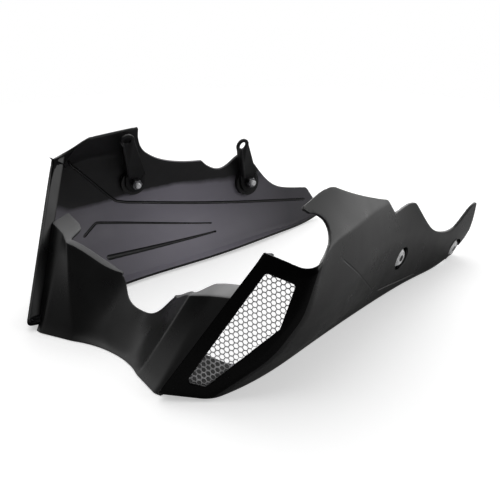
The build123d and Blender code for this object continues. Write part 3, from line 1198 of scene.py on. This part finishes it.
@dataclass
class MeshScreen:
    """Expanded metal behind a pod window: hexagon-like cells in slanted rows, with tilted strands."""

    name: str
    side: Side
    panel: SidePanel
    lap: float = 3.0
    thickness: float = 0.7
    clear: float = 0.2
    pitch: Point = (7.8, 4.9)
    strand: float = 0.95
    tilt: float = 0.5
    slant: float = -0.2
    merge: float = 0.05
    crisp: float = 50.0

    def cell(self, centre: np.ndarray) -> tuple[np.ndarray, np.ndarray]:
        """One cell's outer and inner corners with their heights.

        Args:
            centre: the cell's middle on the pod face.

        Returns:
            Two arrays of six points in the face's axes.
        """
        wide, high = self.pitch
        outer = np.array([(-wide / 6, high / 2), (wide / 6, high / 2), (wide / 3, 0), (wide / 6, -high / 2),
                          (-wide / 6, -high / 2), (-wide / 3, 0)])
        shrink = 1 - self.strand / np.array([2 * wide / 3, high])
        inner = outer * shrink
        for corners in (outer, inner):
            corners[:, 1] += corners[:, 0] * self.slant
        lean = self.tilt * outer[:, 1] / high
        outer = np.column_stack([outer + centre, np.zeros(6)])
        inner = np.column_stack([inner + centre, lean])
        return outer, inner

    def centres(self) -> list[np.ndarray]:
        """The middles of the cells, in columns of which every second one is half a cell higher.

        Returns:
            A list of places on the pod face.
        """
        outline = Outline(self.panel.window).rounded(self.panel.window_corner)
        border = Outline(outline.grown(self.lap))
        wide, high = self.pitch
        low, top = border.points.min(axis=0), border.points.max(axis=0)
        centres = []
        for i, x in enumerate(np.arange(low[0], top[0], wide / 2)):
            rise = (x - low[0]) * self.slant
            start = low[1] - high * math.ceil(rise / high) + high / 2 * (i % 2)
            column = np.arange(start, top[1] - min(rise, 0), high) + rise
            places = np.column_stack([np.full(len(column), x), column])
            centres += list(places[border.distance(places) <= -wide / 4])
        return centres

    def build(self, finish: "ExpandedMetal") -> bpy.types.Object:
        """Builds the screen and gives it its finish.

        Args:
            finish: the finish.

        Returns:
            The screen's object.
        """
        shape = bmesh.new()
        for centre in self.centres():
            self.add_ring(shape, *self.cell(centre))
        bmesh.ops.remove_doubles(shape, verts=shape.verts, dist=self.merge * MILLIMETRE)
        bmesh.ops.recalc_face_normals(shape, faces=shape.faces)
        piece = add_object(f"{self.name}_screen", to_mesh(shape, self.name), finish)
        solid = piece.modifiers.new("wire", "SOLIDIFY")
        solid.thickness = self.thickness * MILLIMETRE
        solid.offset = 0
        settle(piece)
        shade(piece, self.crisp)
        return stand_for(piece, Slot.MESH, self.name)

    def add_ring(self, shape: bmesh.types.BMesh, outer: np.ndarray, inner: np.ndarray) -> None:
        """Adds the metal round one cell to the screen's shape.

        Args:
            shape: the screen's shape.
            outer: the cell's outer corners.
            inner: its inner corners.
        """
        height = -self.panel.wall - self.clear - self.thickness
        mirror = np.array([1, self.side.value, 1])
        pod = self.panel.form.pod
        loops = []
        for corners in (outer, inner):
            points = [pod.point(corner[:2], height + corner[2]) * mirror for corner in corners]
            loops.append([shape.verts.new(place(point)) for point in points])
        bridge(shape, *loops)


@dataclass
class Strap:
    """A bent strap with its edges rounded, in the form of its node."""

    name: str
    round_off: float = 0.45
    flat: float = 1.0
    sharp: float = 50.0

    def build(self, finish: "PowderCoat") -> bpy.types.Object:
        """Builds the strap and gives it its finish.

        Args:
            finish: the finish.

        Returns:
            The strap's object.
        """
        shape = node_shape(self.name)
        flat = math.radians(self.flat)
        bmesh.ops.dissolve_limit(shape, angle_limit=flat, verts=shape.verts, edges=shape.edges)
        piece = add_object(f"{self.name}_bar", to_mesh(shape, self.name), finish)
        round_edges(piece, self.round_off, self.sharp)
        shade(piece)
        return stand_for(piece, Slot.STRAP, self.name)


class Section(Enum):
    """The outline of a turned or forged piece at one height."""

    ROUND = 0
    HEXAGON = 6


def ring(radius: float, height: float, section: Section = Section.ROUND, count: int = 48) -> np.ndarray:
    """Points round the Z axis at one height.

    Args:
        radius: how far its points lie from the axis, at a hexagon's corners.
        height: its height.
        section: whether it is round or a hexagon.
        count: the number of points.

    Returns:
        An array of points, in millimetres.
    """
    turn = np.linspace(0, 2 * math.pi, count, endpoint=False)
    reach = np.full(count, radius)
    if section is Section.HEXAGON:
        sector = 2 * math.pi / section.value
        reach = radius * math.cos(sector / 2) / np.cos(turn % sector - sector / 2)
    return np.column_stack([np.cos(turn) * reach, np.sin(turn) * reach, np.full(count, height)])


@dataclass
class BoltSet:
    """Countersunk bolts with cup washers and nuts, in the pockets of one panel."""

    prefix: str
    side: Side
    grip: float
    shank: float = 3.0
    head: float = 5.6
    head_top: float = 4.6
    socket: float = 2.3
    socket_depth: float = 2.0
    washer: float = 9.5
    flange: float = 2.4
    clearance: float = 0.7
    nut: float = 5.77
    nut_high: float = 6.0
    stand_out: float = 3.0
    pitch: float = 1.0
    thread: float = 0.3
    soft: float = 0.35
    lip: float = 1.2
    chamfer: float = 0.56
    tip: float = 0.01
    crisp: float = 35.0

    def shank_rings(self) -> list[np.ndarray]:
        """The bolt's shank from its threaded end to its head.

        Returns:
            A list of rings.
        """
        nut_low = -self.grip - self.nut_high
        end = nut_low - self.stand_out
        rings = [ring(self.tip, end), ring(self.shank - self.thread * 2, end)]
        for height in np.arange(end + self.pitch / 2, nut_low - self.pitch / 2, self.pitch):
            rings.append(ring(self.shank, height))
            rings.append(ring(self.shank - self.thread, height + self.pitch / 2))
        return rings + [ring(self.shank, nut_low), ring(self.shank, 0)]

    def bolt_rings(self) -> list[np.ndarray]:
        """The bolt from its threaded end to the floor of its socket.

        Returns:
            A list of rings.
        """
        top = self.head_top
        floor = top - self.socket_depth
        return self.shank_rings() + [
            ring(self.head, top - self.soft),
            ring(self.head - self.soft, top),
            ring(self.socket + self.soft, top),
            ring(self.socket, top - self.soft, Section.HEXAGON),
            ring(self.socket, floor, Section.HEXAGON),
            ring(self.tip, floor - self.soft),
        ]

    def washer_rings(self) -> list[np.ndarray]:
        """The cup washer with rounded edges, round its own section.

        Returns:
            A list of rings.
        """
        edge = self.washer - self.soft
        rim = self.head + self.clearance
        return [
            ring(self.shank + self.clearance, 0),
            ring(edge, 0),
            ring(self.washer, self.soft),
            ring(self.washer, self.flange - self.soft),
            ring(edge, self.flange),
            ring(rim + self.lip, self.head_top - self.soft),
            ring(rim + self.lip / 2, self.head_top),
            ring(rim, self.head_top - self.soft / 2),
        ]

    def nut_rings(self) -> list[np.ndarray]:
        """The nut with chamfered corners, round its own section.

        Returns:
            A list of rings.
        """
        top = -self.grip
        low = top - self.nut_high
        hole = self.shank + self.clearance / 4
        flat = self.nut * math.cos(math.pi / Section.HEXAGON.value)
        return [
            ring(hole + self.soft, low),
            ring(flat, low),
            ring(self.nut, low + self.chamfer, Section.HEXAGON),
            ring(self.nut, top - self.soft, Section.HEXAGON),
            ring(flat, top),
            ring(hole, top),
            ring(hole, low + self.soft),
        ]

    def add_kind(self, kind: str, rings: list[np.ndarray], closed: bool, finish: "Steel"
                 ) -> bpy.types.Object:
        """Adds one kind of fastener on all the seats, as one piece.

        Args:
            kind: the kind, as its node is named.
            rings: the rings of one fastener.
            closed: whether its last ring joins the first.
            finish: its finish.

        Returns:
            The piece.
        """
        node = f"{self.prefix}_{kind}"
        one = rings_mesh(node, [circle * MILLIMETRE for circle in rings], closed)
        shape = bmesh.new()
        for seat in seats_of(f"{self.prefix}_washers", self.side):
            moved = one.copy()
            moved.transform(seat.matrix())
            shape.from_mesh(moved)
            bpy.data.meshes.remove(moved)
        bpy.data.meshes.remove(one)
        piece = add_object(f"{node}_set", to_mesh(shape, node), finish)
        shade(piece, self.crisp)
        return stand_for(piece, Slot.FASTENER, node)

    def build(self, dark: "Steel", bright: "Steel") -> None:
        """Builds the bolts, washers and nuts.

        Args:
            dark: the finish of the nuts.
            bright: that of the bolts and washers.
        """
        self.add_kind("bolts", self.bolt_rings(), False, bright)
        self.add_kind("washers", self.washer_rings(), True, bright)
        self.add_kind("nuts", self.nut_rings(), True, dark)


@dataclass(frozen=True)
class Cloud:
    """A noise: how fine it is for each metre, its octaves, and how much finer along each axis."""

    scale: float
    detail: float
    stretch: Point = (1, 1, 1)


@dataclass(frozen=True)
class Relief:
    """A fine relief that follows a cloud, with its strength and its height in metres."""

    cloud: Cloud
    strength: float
    height: float


class NodeBoard:
    """A node tree with short ways to add the textures that the finishes share."""

    def __init__(self, tree: bpy.types.NodeTree) -> None:
        """Keeps the tree and its shader, and adds the place on the object in metres.

        Args:
            tree: the material's node tree.
        """
        self.tree = tree
        self.shader = tree.nodes.get("Principled BSDF")
        self.where = self.add("TexCoord").outputs["Object"]

    def add(self, kind: str) -> bpy.types.Node:
        """A new node of a kind."""
        return self.tree.nodes.new(f"ShaderNode{kind}")

    def link(self, source: Socket, target: Socket) -> None:
        """Joins two sockets."""
        self.tree.links.new(source, target)

    def drive(self, name: str, value: Socket) -> None:
        """Lets a value set one of the shader's inputs."""
        self.link(value, self.shader.inputs[name])

    def keep(self, name: str, value: float | Point) -> None:
        """Sets one of the shader's inputs to the same value all over."""
        self.shader.inputs[name].default_value = value

    def noise(self, cloud: Cloud) -> Socket:
        """A noise over the object.

        Args:
            cloud: how it looks.

        Returns:
            The socket with its value.
        """
        mapping = self.add("Mapping")
        mapping.inputs["Scale"].default_value = cloud.stretch
        self.link(self.where, mapping.inputs["Vector"])
        noise = self.add("TexNoise")
        noise.inputs["Scale"].default_value = cloud.scale
        noise.inputs["Detail"].default_value = cloud.detail
        self.link(mapping.outputs["Vector"], noise.inputs["Vector"])
        return noise.outputs["Fac"]

    def ranged(self, value: Socket, low: float, high: float, near: Pair = (0.3, 0.7)) -> Socket:
        """A value spread from one range to another.

        Args:
            value: the socket with the value.
            low: the result at the range's start.
            high: the result at its end.
            near: the range that is spread.

        Returns:
            The socket with the result.
        """
        spread = self.add("MapRange")
        for name, number in zip(("From Min", "From Max", "To Min", "To Max"), (*near, low, high)):
            spread.inputs[name].default_value = number
        self.link(value, spread.inputs["Value"])
        return spread.outputs["Result"]

    def part(self, vector: Socket, axis: str) -> Socket:
        """One coordinate of a vector.

        Args:
            vector: the socket with the vector.
            axis: X, Y or Z.

        Returns:
            The socket with the coordinate.
        """
        parts = self.add("SeparateXYZ")
        self.link(vector, parts.inputs["Vector"])
        return parts.outputs[axis]

    def facing_up(self) -> Socket:
        """How far the surface faces up, from -1 to 1."""
        return self.part(self.add("NewGeometry").outputs["Normal"], "Z")

    def along(self) -> Socket:
        """The place from tail to nose, in metres."""
        return self.part(self.where, "X")

    def combined(self, operation: Operation, *values: Socket) -> Socket:
        """The sum or the product of some values.

        Args:
            operation: which of the two.
            values: the sockets with the values.

        Returns:
            The socket with the result.
        """
        result = values[0]
        for value in values[1:]:
            both = self.add("Math")
            both.operation = operation.value
            self.link(result, both.inputs[0])
            self.link(value, both.inputs[1])
            result = both.outputs["Value"]
        return result

    def blend(self, share: Socket, first: Point, second: Point) -> Socket:
        """A colour that goes from one to another with a value.

        Args:
            share: the socket with the value.
            first: the colour at 0.
            second: the colour at 1.

        Returns:
            The socket with the colour.
        """
        ramp = self.add("ValToRGB")
        for step, colour in zip(ramp.color_ramp.elements, (first, second)):
            step.color = (*colour, 1)
        self.link(share, ramp.inputs["Fac"])
        return ramp.outputs["Color"]

    def bump(self, relief: Relief) -> None:
        """Adds a relief to the shader, over any that it has.

        Args:
            relief: the relief.
        """
        bump = self.add("Bump")
        bump.inputs["Strength"].default_value = relief.strength
        bump.inputs["Distance"].default_value = relief.height
        normal = self.shader.inputs["Normal"]
        if normal.is_linked:
            self.link(normal.links[0].from_socket, bump.inputs["Normal"])
        self.link(self.noise(relief.cloud), bump.inputs["Height"])
        self.link(bump.outputs["Normal"], normal)


@dataclass(frozen=True, kw_only=True)
class Finish:
    """A procedural finish, made once and shared by the pieces that have it.

    A cloud takes it from one colour to the other, smudges change its roughness, and reliefs lie on it.
    """

    name: str
    colour: Point
    other: Point
    cloud: Cloud
    roughness: Pair
    smudges: Cloud
    reliefs: tuple[Relief, ...]
    metallic: float = 0.0
    shine: float = 0.5
    made: ClassVar[dict[str, bpy.types.Material]] = {}

    def share(self, board: NodeBoard) -> Socket:
        """How far the other colour shows."""
        return board.ranged(board.noise(self.cloud), 0, 1)

    def dress(self, board: NodeBoard) -> None:
        """Lays the finish on a material's nodes.

        Args:
            board: the nodes.
        """
        board.drive("Base Color", board.blend(self.share(board), self.colour, self.other))
        board.drive("Roughness", board.ranged(board.noise(self.smudges), *self.roughness))
        board.keep("Metallic", self.metallic)
        board.keep("Specular IOR Level", self.shine)
        for relief in self.reliefs:
            board.bump(relief)

    def material(self) -> bpy.types.Material:
        """The finish's material, which is made the first time.

        Returns:
            The material.
        """
        if self.name not in Finish.made:
            made = bpy.data.materials.new(self.name)
            made.use_nodes = True
            self.dress(NodeBoard(made.node_tree))
            Finish.made[self.name] = made
        return Finish.made[self.name]


@dataclass(frozen=True, kw_only=True)
class MouldedPlastic(Finish):
    """Black moulded plastic with a satin gloss, a fine grain and a little haze."""

    name: str = "black_moulded_plastic"
    colour: Point = (0.0028, 0.0028, 0.0030)
    other: Point = (0.0050, 0.0050, 0.0052)
    cloud: Cloud = Cloud(18, 5)
    roughness: Pair = (0.25, 0.36)
    smudges: Cloud = Cloud(45, 6, (1, 1, 0.6))
    reliefs: tuple[Relief, ...] = (Relief(Cloud(14, 1), 0.05, 0.004), Relief(Cloud(1500, 2), 0.06, 0.0002))


@dataclass(frozen=True, kw_only=True)
class PodBlack(Finish):
    """The deep black of the pods, which shines less than the sides."""

    name: str = "deep_black_pod"
    colour: Point = (0.0012, 0.0012, 0.0013)
    other: Point = (0.0022, 0.0022, 0.0023)
    cloud: Cloud = Cloud(22, 5)
    roughness: Pair = (0.20, 0.30)
    smudges: Cloud = Cloud(50, 6)
    reliefs: tuple[Relief, ...] = (Relief(Cloud(1500, 2), 0.05, 0.0002),)
    shine: float = 0.12


@dataclass(frozen=True, kw_only=True)
class MouldedBack(Finish):
    """The matt back of the mouldings, with painted light: a grey where it faces up, where light falls on
    it.

    The painted light thins towards both ends, and towards the nose it needs a surface that faces up more.
    """

    name: str = "matt_moulded_back"
    colour: Point = (0.0100, 0.0098, 0.0104)
    # The grey of the painted light where the back faces up.
    other: Point = (0.250, 0.236, 0.280)
    cloud: Cloud = Cloud(30, 8)
    patches: float = 0.04
    facing: Pair = (0.01, 0.12)
    steeper: float = -0.13
    steeper_from: Pair = (0.04, 0.11)
    rear_share: float = 0.2
    rear: Pair = (-0.15, -0.01)
    front_share: float = 0.55
    front: Pair = (0.02, 0.12)
    roughness: Pair = (0.40, 0.56)
    smudges: Cloud = Cloud(60, 6)
    reliefs: tuple[Relief, ...] = (Relief(Cloud(900, 3), 0.12, 0.0003),)

    def share(self, board: NodeBoard) -> Socket:
        """How far the painted light shows.

        Args:
            board: the nodes.

        Returns:
            The socket with its share.
        """
        patchy = board.ranged(board.noise(self.cloud), -self.patches, self.patches)
        tilt = board.ranged(board.along(), 0, self.steeper, self.steeper_from)
        level = board.combined(Operation.SUM, board.facing_up(), patchy, tilt)
        settled = board.ranged(level, 0, 1, self.facing)
        rear = board.ranged(board.along(), self.rear_share, 1, self.rear)
        front = board.ranged(board.along(), 1, self.front_share, self.front)
        return board.combined(Operation.PRODUCT, rear, front, settled)


@dataclass(frozen=True, kw_only=True)
class ExpandedMetal(Finish):
    """Bare expanded metal with brighter places along its strands."""

    name: str = "bare_expanded_metal"
    colour: Point = (0.66, 0.66, 0.67)
    other: Point = (0.86, 0.86, 0.87)
    cloud: Cloud = Cloud(160, 4)
    roughness: Pair = (0.3, 0.48)
    smudges: Cloud = Cloud(400, 3)
    reliefs: tuple[Relief, ...] = (Relief(Cloud(2500, 2), 0.15, 0.0001),)
    metallic: float = 0.4


@dataclass(frozen=True, kw_only=True)
class PowderCoat(Finish):
    """Black powder coat with the fine ripple that it dries with."""

    name: str = "black_powder_coat"
    colour: Point = (0.0035, 0.0035, 0.004)
    other: Point = (0.008, 0.008, 0.009)
    cloud: Cloud = Cloud(50, 5)
    roughness: Pair = (0.34, 0.46)
    smudges: Cloud = Cloud(120, 4)
    reliefs: tuple[Relief, ...] = (Relief(Cloud(700, 2), 0.2, 0.0003),)
    shine: float = 0.3


@dataclass(frozen=True, kw_only=True)
class Steel(Finish):
    """Plain metal of a fastener, turned or forged, with fine marks."""

    cloud: Cloud = Cloud(500, 5, (1, 6, 1))
    smudges: Cloud = Cloud(500, 5, (1, 6, 1))
    reliefs: tuple[Relief, ...] = (Relief(Cloud(500, 5, (1, 6, 1)), 0.1, 0.0001),)
    metallic: float = 1.0


def face_point(name: str, data: bpy.types.ID, where: Point, aim: Point) -> bpy.types.Object:
    """Adds a lamp or a camera that faces a point.

    Args:
        name: its name.
        data: the lamp's or the camera's own values.
        where: its place, in metres.
        aim: the point, in metres.

    Returns:
        Its object.
    """
    thing = bpy.data.objects.new(name, data)
    thing.location = where
    thing.rotation_euler = (Vector(aim) - Vector(where)).to_track_quat("-Z", "Y").to_euler()
    bpy.context.scene.collection.objects.link(thing)
    return thing


@dataclass(frozen=True)
class Lamp:
    """A soft rectangular lamp, with its place and size in metres and its power in watts."""

    name: str
    where: Point
    size: Pair
    power: float

    def build(self, aim: Point) -> None:
        """Adds the lamp.

        Args:
            aim: the point that it faces, in metres.
        """
        data = bpy.data.lights.new(self.name, "AREA")
        data.shape = "RECTANGLE"
        data.size, data.size_y = self.size
        data.energy = self.power
        face_point(self.name, data, self.where, aim)


@dataclass
class Studio:
    """A pale floor that fades into a white surrounding, soft lamps and the camera."""

    target: Point = (20.96, 0.0, 48.6)
    camera: Point = (759.3, 714.3, 476.6)
    lens: float = 79.2
    sensor: float = 36.0
    floor_size: float = 6.0
    floor_below: float = 0.0005
    floor_colour: Point = (0.78, 0.78, 0.78)
    floor_roughness: float = 0.8
    floor_lift: float = 0.48
    floor_in_gloss: Point = (0.42, 0.42, 0.42)
    fade: Pair = (0.5, 0.85)
    behind: Point = (-0.75, -0.66, 0.0)
    sky: float = 1.4
    sky_steps: Sequence[Pair] = (
        (0, 0.02), (0.375, 0.10), (0.55, 0.25), (0.675, 0.34), (0.775, 0.94), (1, 1),
    )
    lamp_aim: Point = (0, 0, 0.05)
    lamps: Sequence[Lamp] = (
        Lamp("lamp_above", (0.35, -0.25, 1.8), (1.7, 1.7), 9),
        Lamp("lamp_behind", (-1.3, -1.3, 1.3), (1.8, 1.2), 12),
        Lamp("lamp_left", (-0.7, 1.7, 1.0), (1.6, 0.9), 8),
    )

    def sky_ramp(self, tree: bpy.types.NodeTree) -> Socket:
        """The sky's brightness, which grows from in front of the object to behind it.

        Args:
            tree: the world's node tree.

        Returns:
            The socket with its colour.
        """
        facing = tree.nodes.new("ShaderNodeVectorMath")
        facing.operation = "DOT_PRODUCT"
        facing.inputs[1].default_value = self.behind
        tree.links.new(tree.nodes.new("ShaderNodeTexCoord").outputs["Generated"], facing.inputs[0])
        share = tree.nodes.new("ShaderNodeMapRange")
        share.inputs["From Min"].default_value = -1
        tree.links.new(facing.outputs["Value"], share.inputs["Value"])
        ramp = tree.nodes.new("ShaderNodeValToRGB")
        tree.links.new(share.outputs["Result"], ramp.inputs["Fac"])
        steps = ramp.color_ramp.elements
        for at, _ in self.sky_steps[1:-1]:
            steps.new(at)
        for step, (at, level) in zip(steps, self.sky_steps):
            step.position = at
            step.color = (level, level, level, 1)
        return ramp.outputs["Color"]

    def world(self) -> None:
        """A white surrounding for the camera, and as light one that is bright behind and dim in front."""
        world = bpy.data.worlds.new("surrounding")
        bpy.context.scene.world = world
        world.use_nodes = True
        nodes, links = world.node_tree.nodes, world.node_tree.links
        light = nodes["Background"]
        links.new(self.sky_ramp(world.node_tree), light.inputs["Color"])
        light.inputs["Strength"].default_value = self.sky
        white = nodes.new("ShaderNodeBackground")
        white.inputs["Color"].default_value = (1, 1, 1, 1)
        mix = nodes.new("ShaderNodeMixShader")
        links.new(nodes.new("ShaderNodeLightPath").outputs["Is Camera Ray"], mix.inputs["Fac"])
        links.new(light.outputs["Background"], mix.inputs[1])
        links.new(white.outputs["Background"], mix.inputs[2])
        links.new(mix.outputs["Shader"], nodes["World Output"].inputs["Surface"])

    def floor_material(self) -> bpy.types.Material:
        """The floor's finish, which keeps the shadow near the object and fades away from it.

        Returns:
            The material.
        """
        made = bpy.data.materials.new("pale_floor")
        made.use_nodes = True
        board = NodeBoard(made.node_tree)
        board.keep("Roughness", self.floor_roughness)
        board.keep("Specular IOR Level", 0.0)
        board.keep("Emission Color", (1, 1, 1, 1))
        path = board.add("LightPath").outputs
        board.drive("Emission Strength", board.ranged(path["Is Camera Ray"], 0, self.floor_lift, (0, 1)))
        colour = board.blend(path["Is Glossy Ray"], self.floor_colour, self.floor_in_gloss)
        board.drive("Base Color", colour)
        away = board.add("VectorMath")
        away.operation = "LENGTH"
        board.link(board.where, away.inputs[0])
        board.drive("Alpha", board.ranged(away.outputs["Value"], 1, 0, self.fade))
        return made

    def floor(self) -> None:
        """A pale floor, just below the object."""
        shape = bmesh.new()
        bmesh.ops.create_grid(shape, x_segments=8, y_segments=8, size=self.floor_size / 2)
        data = to_mesh(shape, "floor")
        data.materials.append(self.floor_material())
        floor = add_object("floor", data)
        floor.location.z = -self.floor_below

    def set_camera(self) -> None:
        """Sets the camera at the photograph's angle."""
        data = bpy.data.cameras.new("camera")
        data.lens = self.lens
        data.sensor_width = self.sensor
        where, aim = (Vector(point) * MILLIMETRE for point in (self.camera, self.target))
        bpy.context.scene.camera = face_point("camera", data, where, aim)

    def build(self) -> None:
        """Sets up all of the studio."""
        bpy.context.scene.view_settings.view_transform = "Standard"
        self.world()
        self.floor()
        for lamp in self.lamps:
            lamp.build(self.lamp_aim)
        self.set_camera()


def left_panel() -> SidePanel:
    """The panel on the rider's left, with the scoop above its pod and two lines outside.

    Returns:
        The panel.
    """
    top_edge = (
        ((-112, 153), (-148, 156), (-160, 156.2), (-171, 154.5)),
        ((-171, 154.5), (-206, 138), (-241, 124.3), (-257, 118.5)),
        ((-257, 118.5), (-269.5, 102)),
        ((-269.5, 102), (-279, 101), (-310, 99.5), (-316, 97)),
        ((-316, 97), (-333, 77), (-352, 59), (-384, 44), (-411, 42.5), (-430, 54.5), (-449, 59.5)),
        ((-449, 59.5), (-452, 24)),
        ((-452, 24), (-445, 12), (-430, -30)),
    )
    lines = (
        Line(((-142, 106), (-187, 69), (-250, 22)), (2.6, 2.6), 0.4, 14),
        Line(((-258, 20), (-317, 10), (-348, 6.5)), (3.0, 2.0), 1.0, 6),
    )
    return SidePanel("left_side_panel", Side.LEFT, top_edge, "panel_washers", lines,
                     lines_inside=False, scooped=True)


def right_panel() -> SidePanel:
    """The panel on the rider's right, with three lines inside.

    Returns:
        The panel.
    """
    top_edge = (
        ((-112, 153.5), (-142, 154.5), (-171.5, 155.3)),
        ((-171.5, 155.3), (-179, 138.4), (-199, 115.5), (-223, 105), (-259, 99.3)),
        ((-259, 99.3), (-271, 89), (-284, 85.2), (-296, 90.5), (-304, 96), (-317, 94.5)),
        ((-317, 94.5), (-335.5, 73.5), (-359, 49), (-374, 43.3), (-405, 36.7)),
        ((-405, 36.7), (-411, 27), (-416, -30)),
    )
    lines = (
        Line(((-104, 127), (-152, 77), (-160, 69.5), (-170, 66.5), (-400, 24)), (3.2, 3.2), 1.6, 3),
        Line(((-113, 41), (-132, 52), (-262, 27)), (3.4, 1.6), 1.5, 3),
        Line(((-127, 19), (-172, 18.5), (-264, 18)), (6.5, 2), 1.9, 2.6),
    )
    return SidePanel("right_side_panel", Side.RIGHT, top_edge, "strap_washers", lines,
                     lines_inside=True, scooped=False)


def build_mouldings() -> None:
    """Builds the side panels, the nose between them and the screens in their windows."""
    plastic, back = MouldedPlastic(), MouldedBack()
    # The pod insides lie in shade, so they take the back without its painted light, and with less shine.
    pod_back = MouldedBack(name="dark_moulded_back", other=(0.008, 0.008, 0.009), shine=0.05)
    # The ledges' outsides get the same painted light: a lighter grey where they face up.
    ledge = MouldedBack(name="matt_moulded_ledge", other=(0.262, 0.262, 0.265))
    panels = left_panel(), right_panel()
    for panel in panels:
        panel.build((plastic, back, PodBlack(), pod_back))
    NosePanel().build((plastic, back, ledge, back))
    for name, panel in zip(("left_mesh", "right_mesh"), panels):
        MeshScreen(name, panel.side, panel).build(ExpandedMetal())


def build_fittings() -> None:
    """Builds the straps and the fasteners."""
    for name in ("front_strap", "rear_strap"):
        Strap(name).build(PowderCoat())
    dark = Steel(name="dark_steel", colour=(0.16, 0.16, 0.17), other=(0.30, 0.30, 0.31),
                 roughness=(0.28, 0.42))
    # The bolts and washers are painted light: a near-white steel that is hardly metallic stands in for
    # their highlights.
    bright = Steel(name="bright_steel", colour=(0.78, 0.78, 0.79), other=(0.93, 0.93, 0.94),
                   roughness=(0.18, 0.30), metallic=0.15)
    BoltSet("panel", Side.LEFT, grip=3.0).build(dark, bright)
    BoltSet("strap", Side.RIGHT, grip=5.5).build(dark, bright)


def main() -> None:
    """Builds the belly pan and the studio round it."""
    logging.basicConfig(level=logging.INFO, format="%(message)s")
    build_mouldings()
    build_fittings()
    Studio().build()


if __name__ == "__main__":
    main()
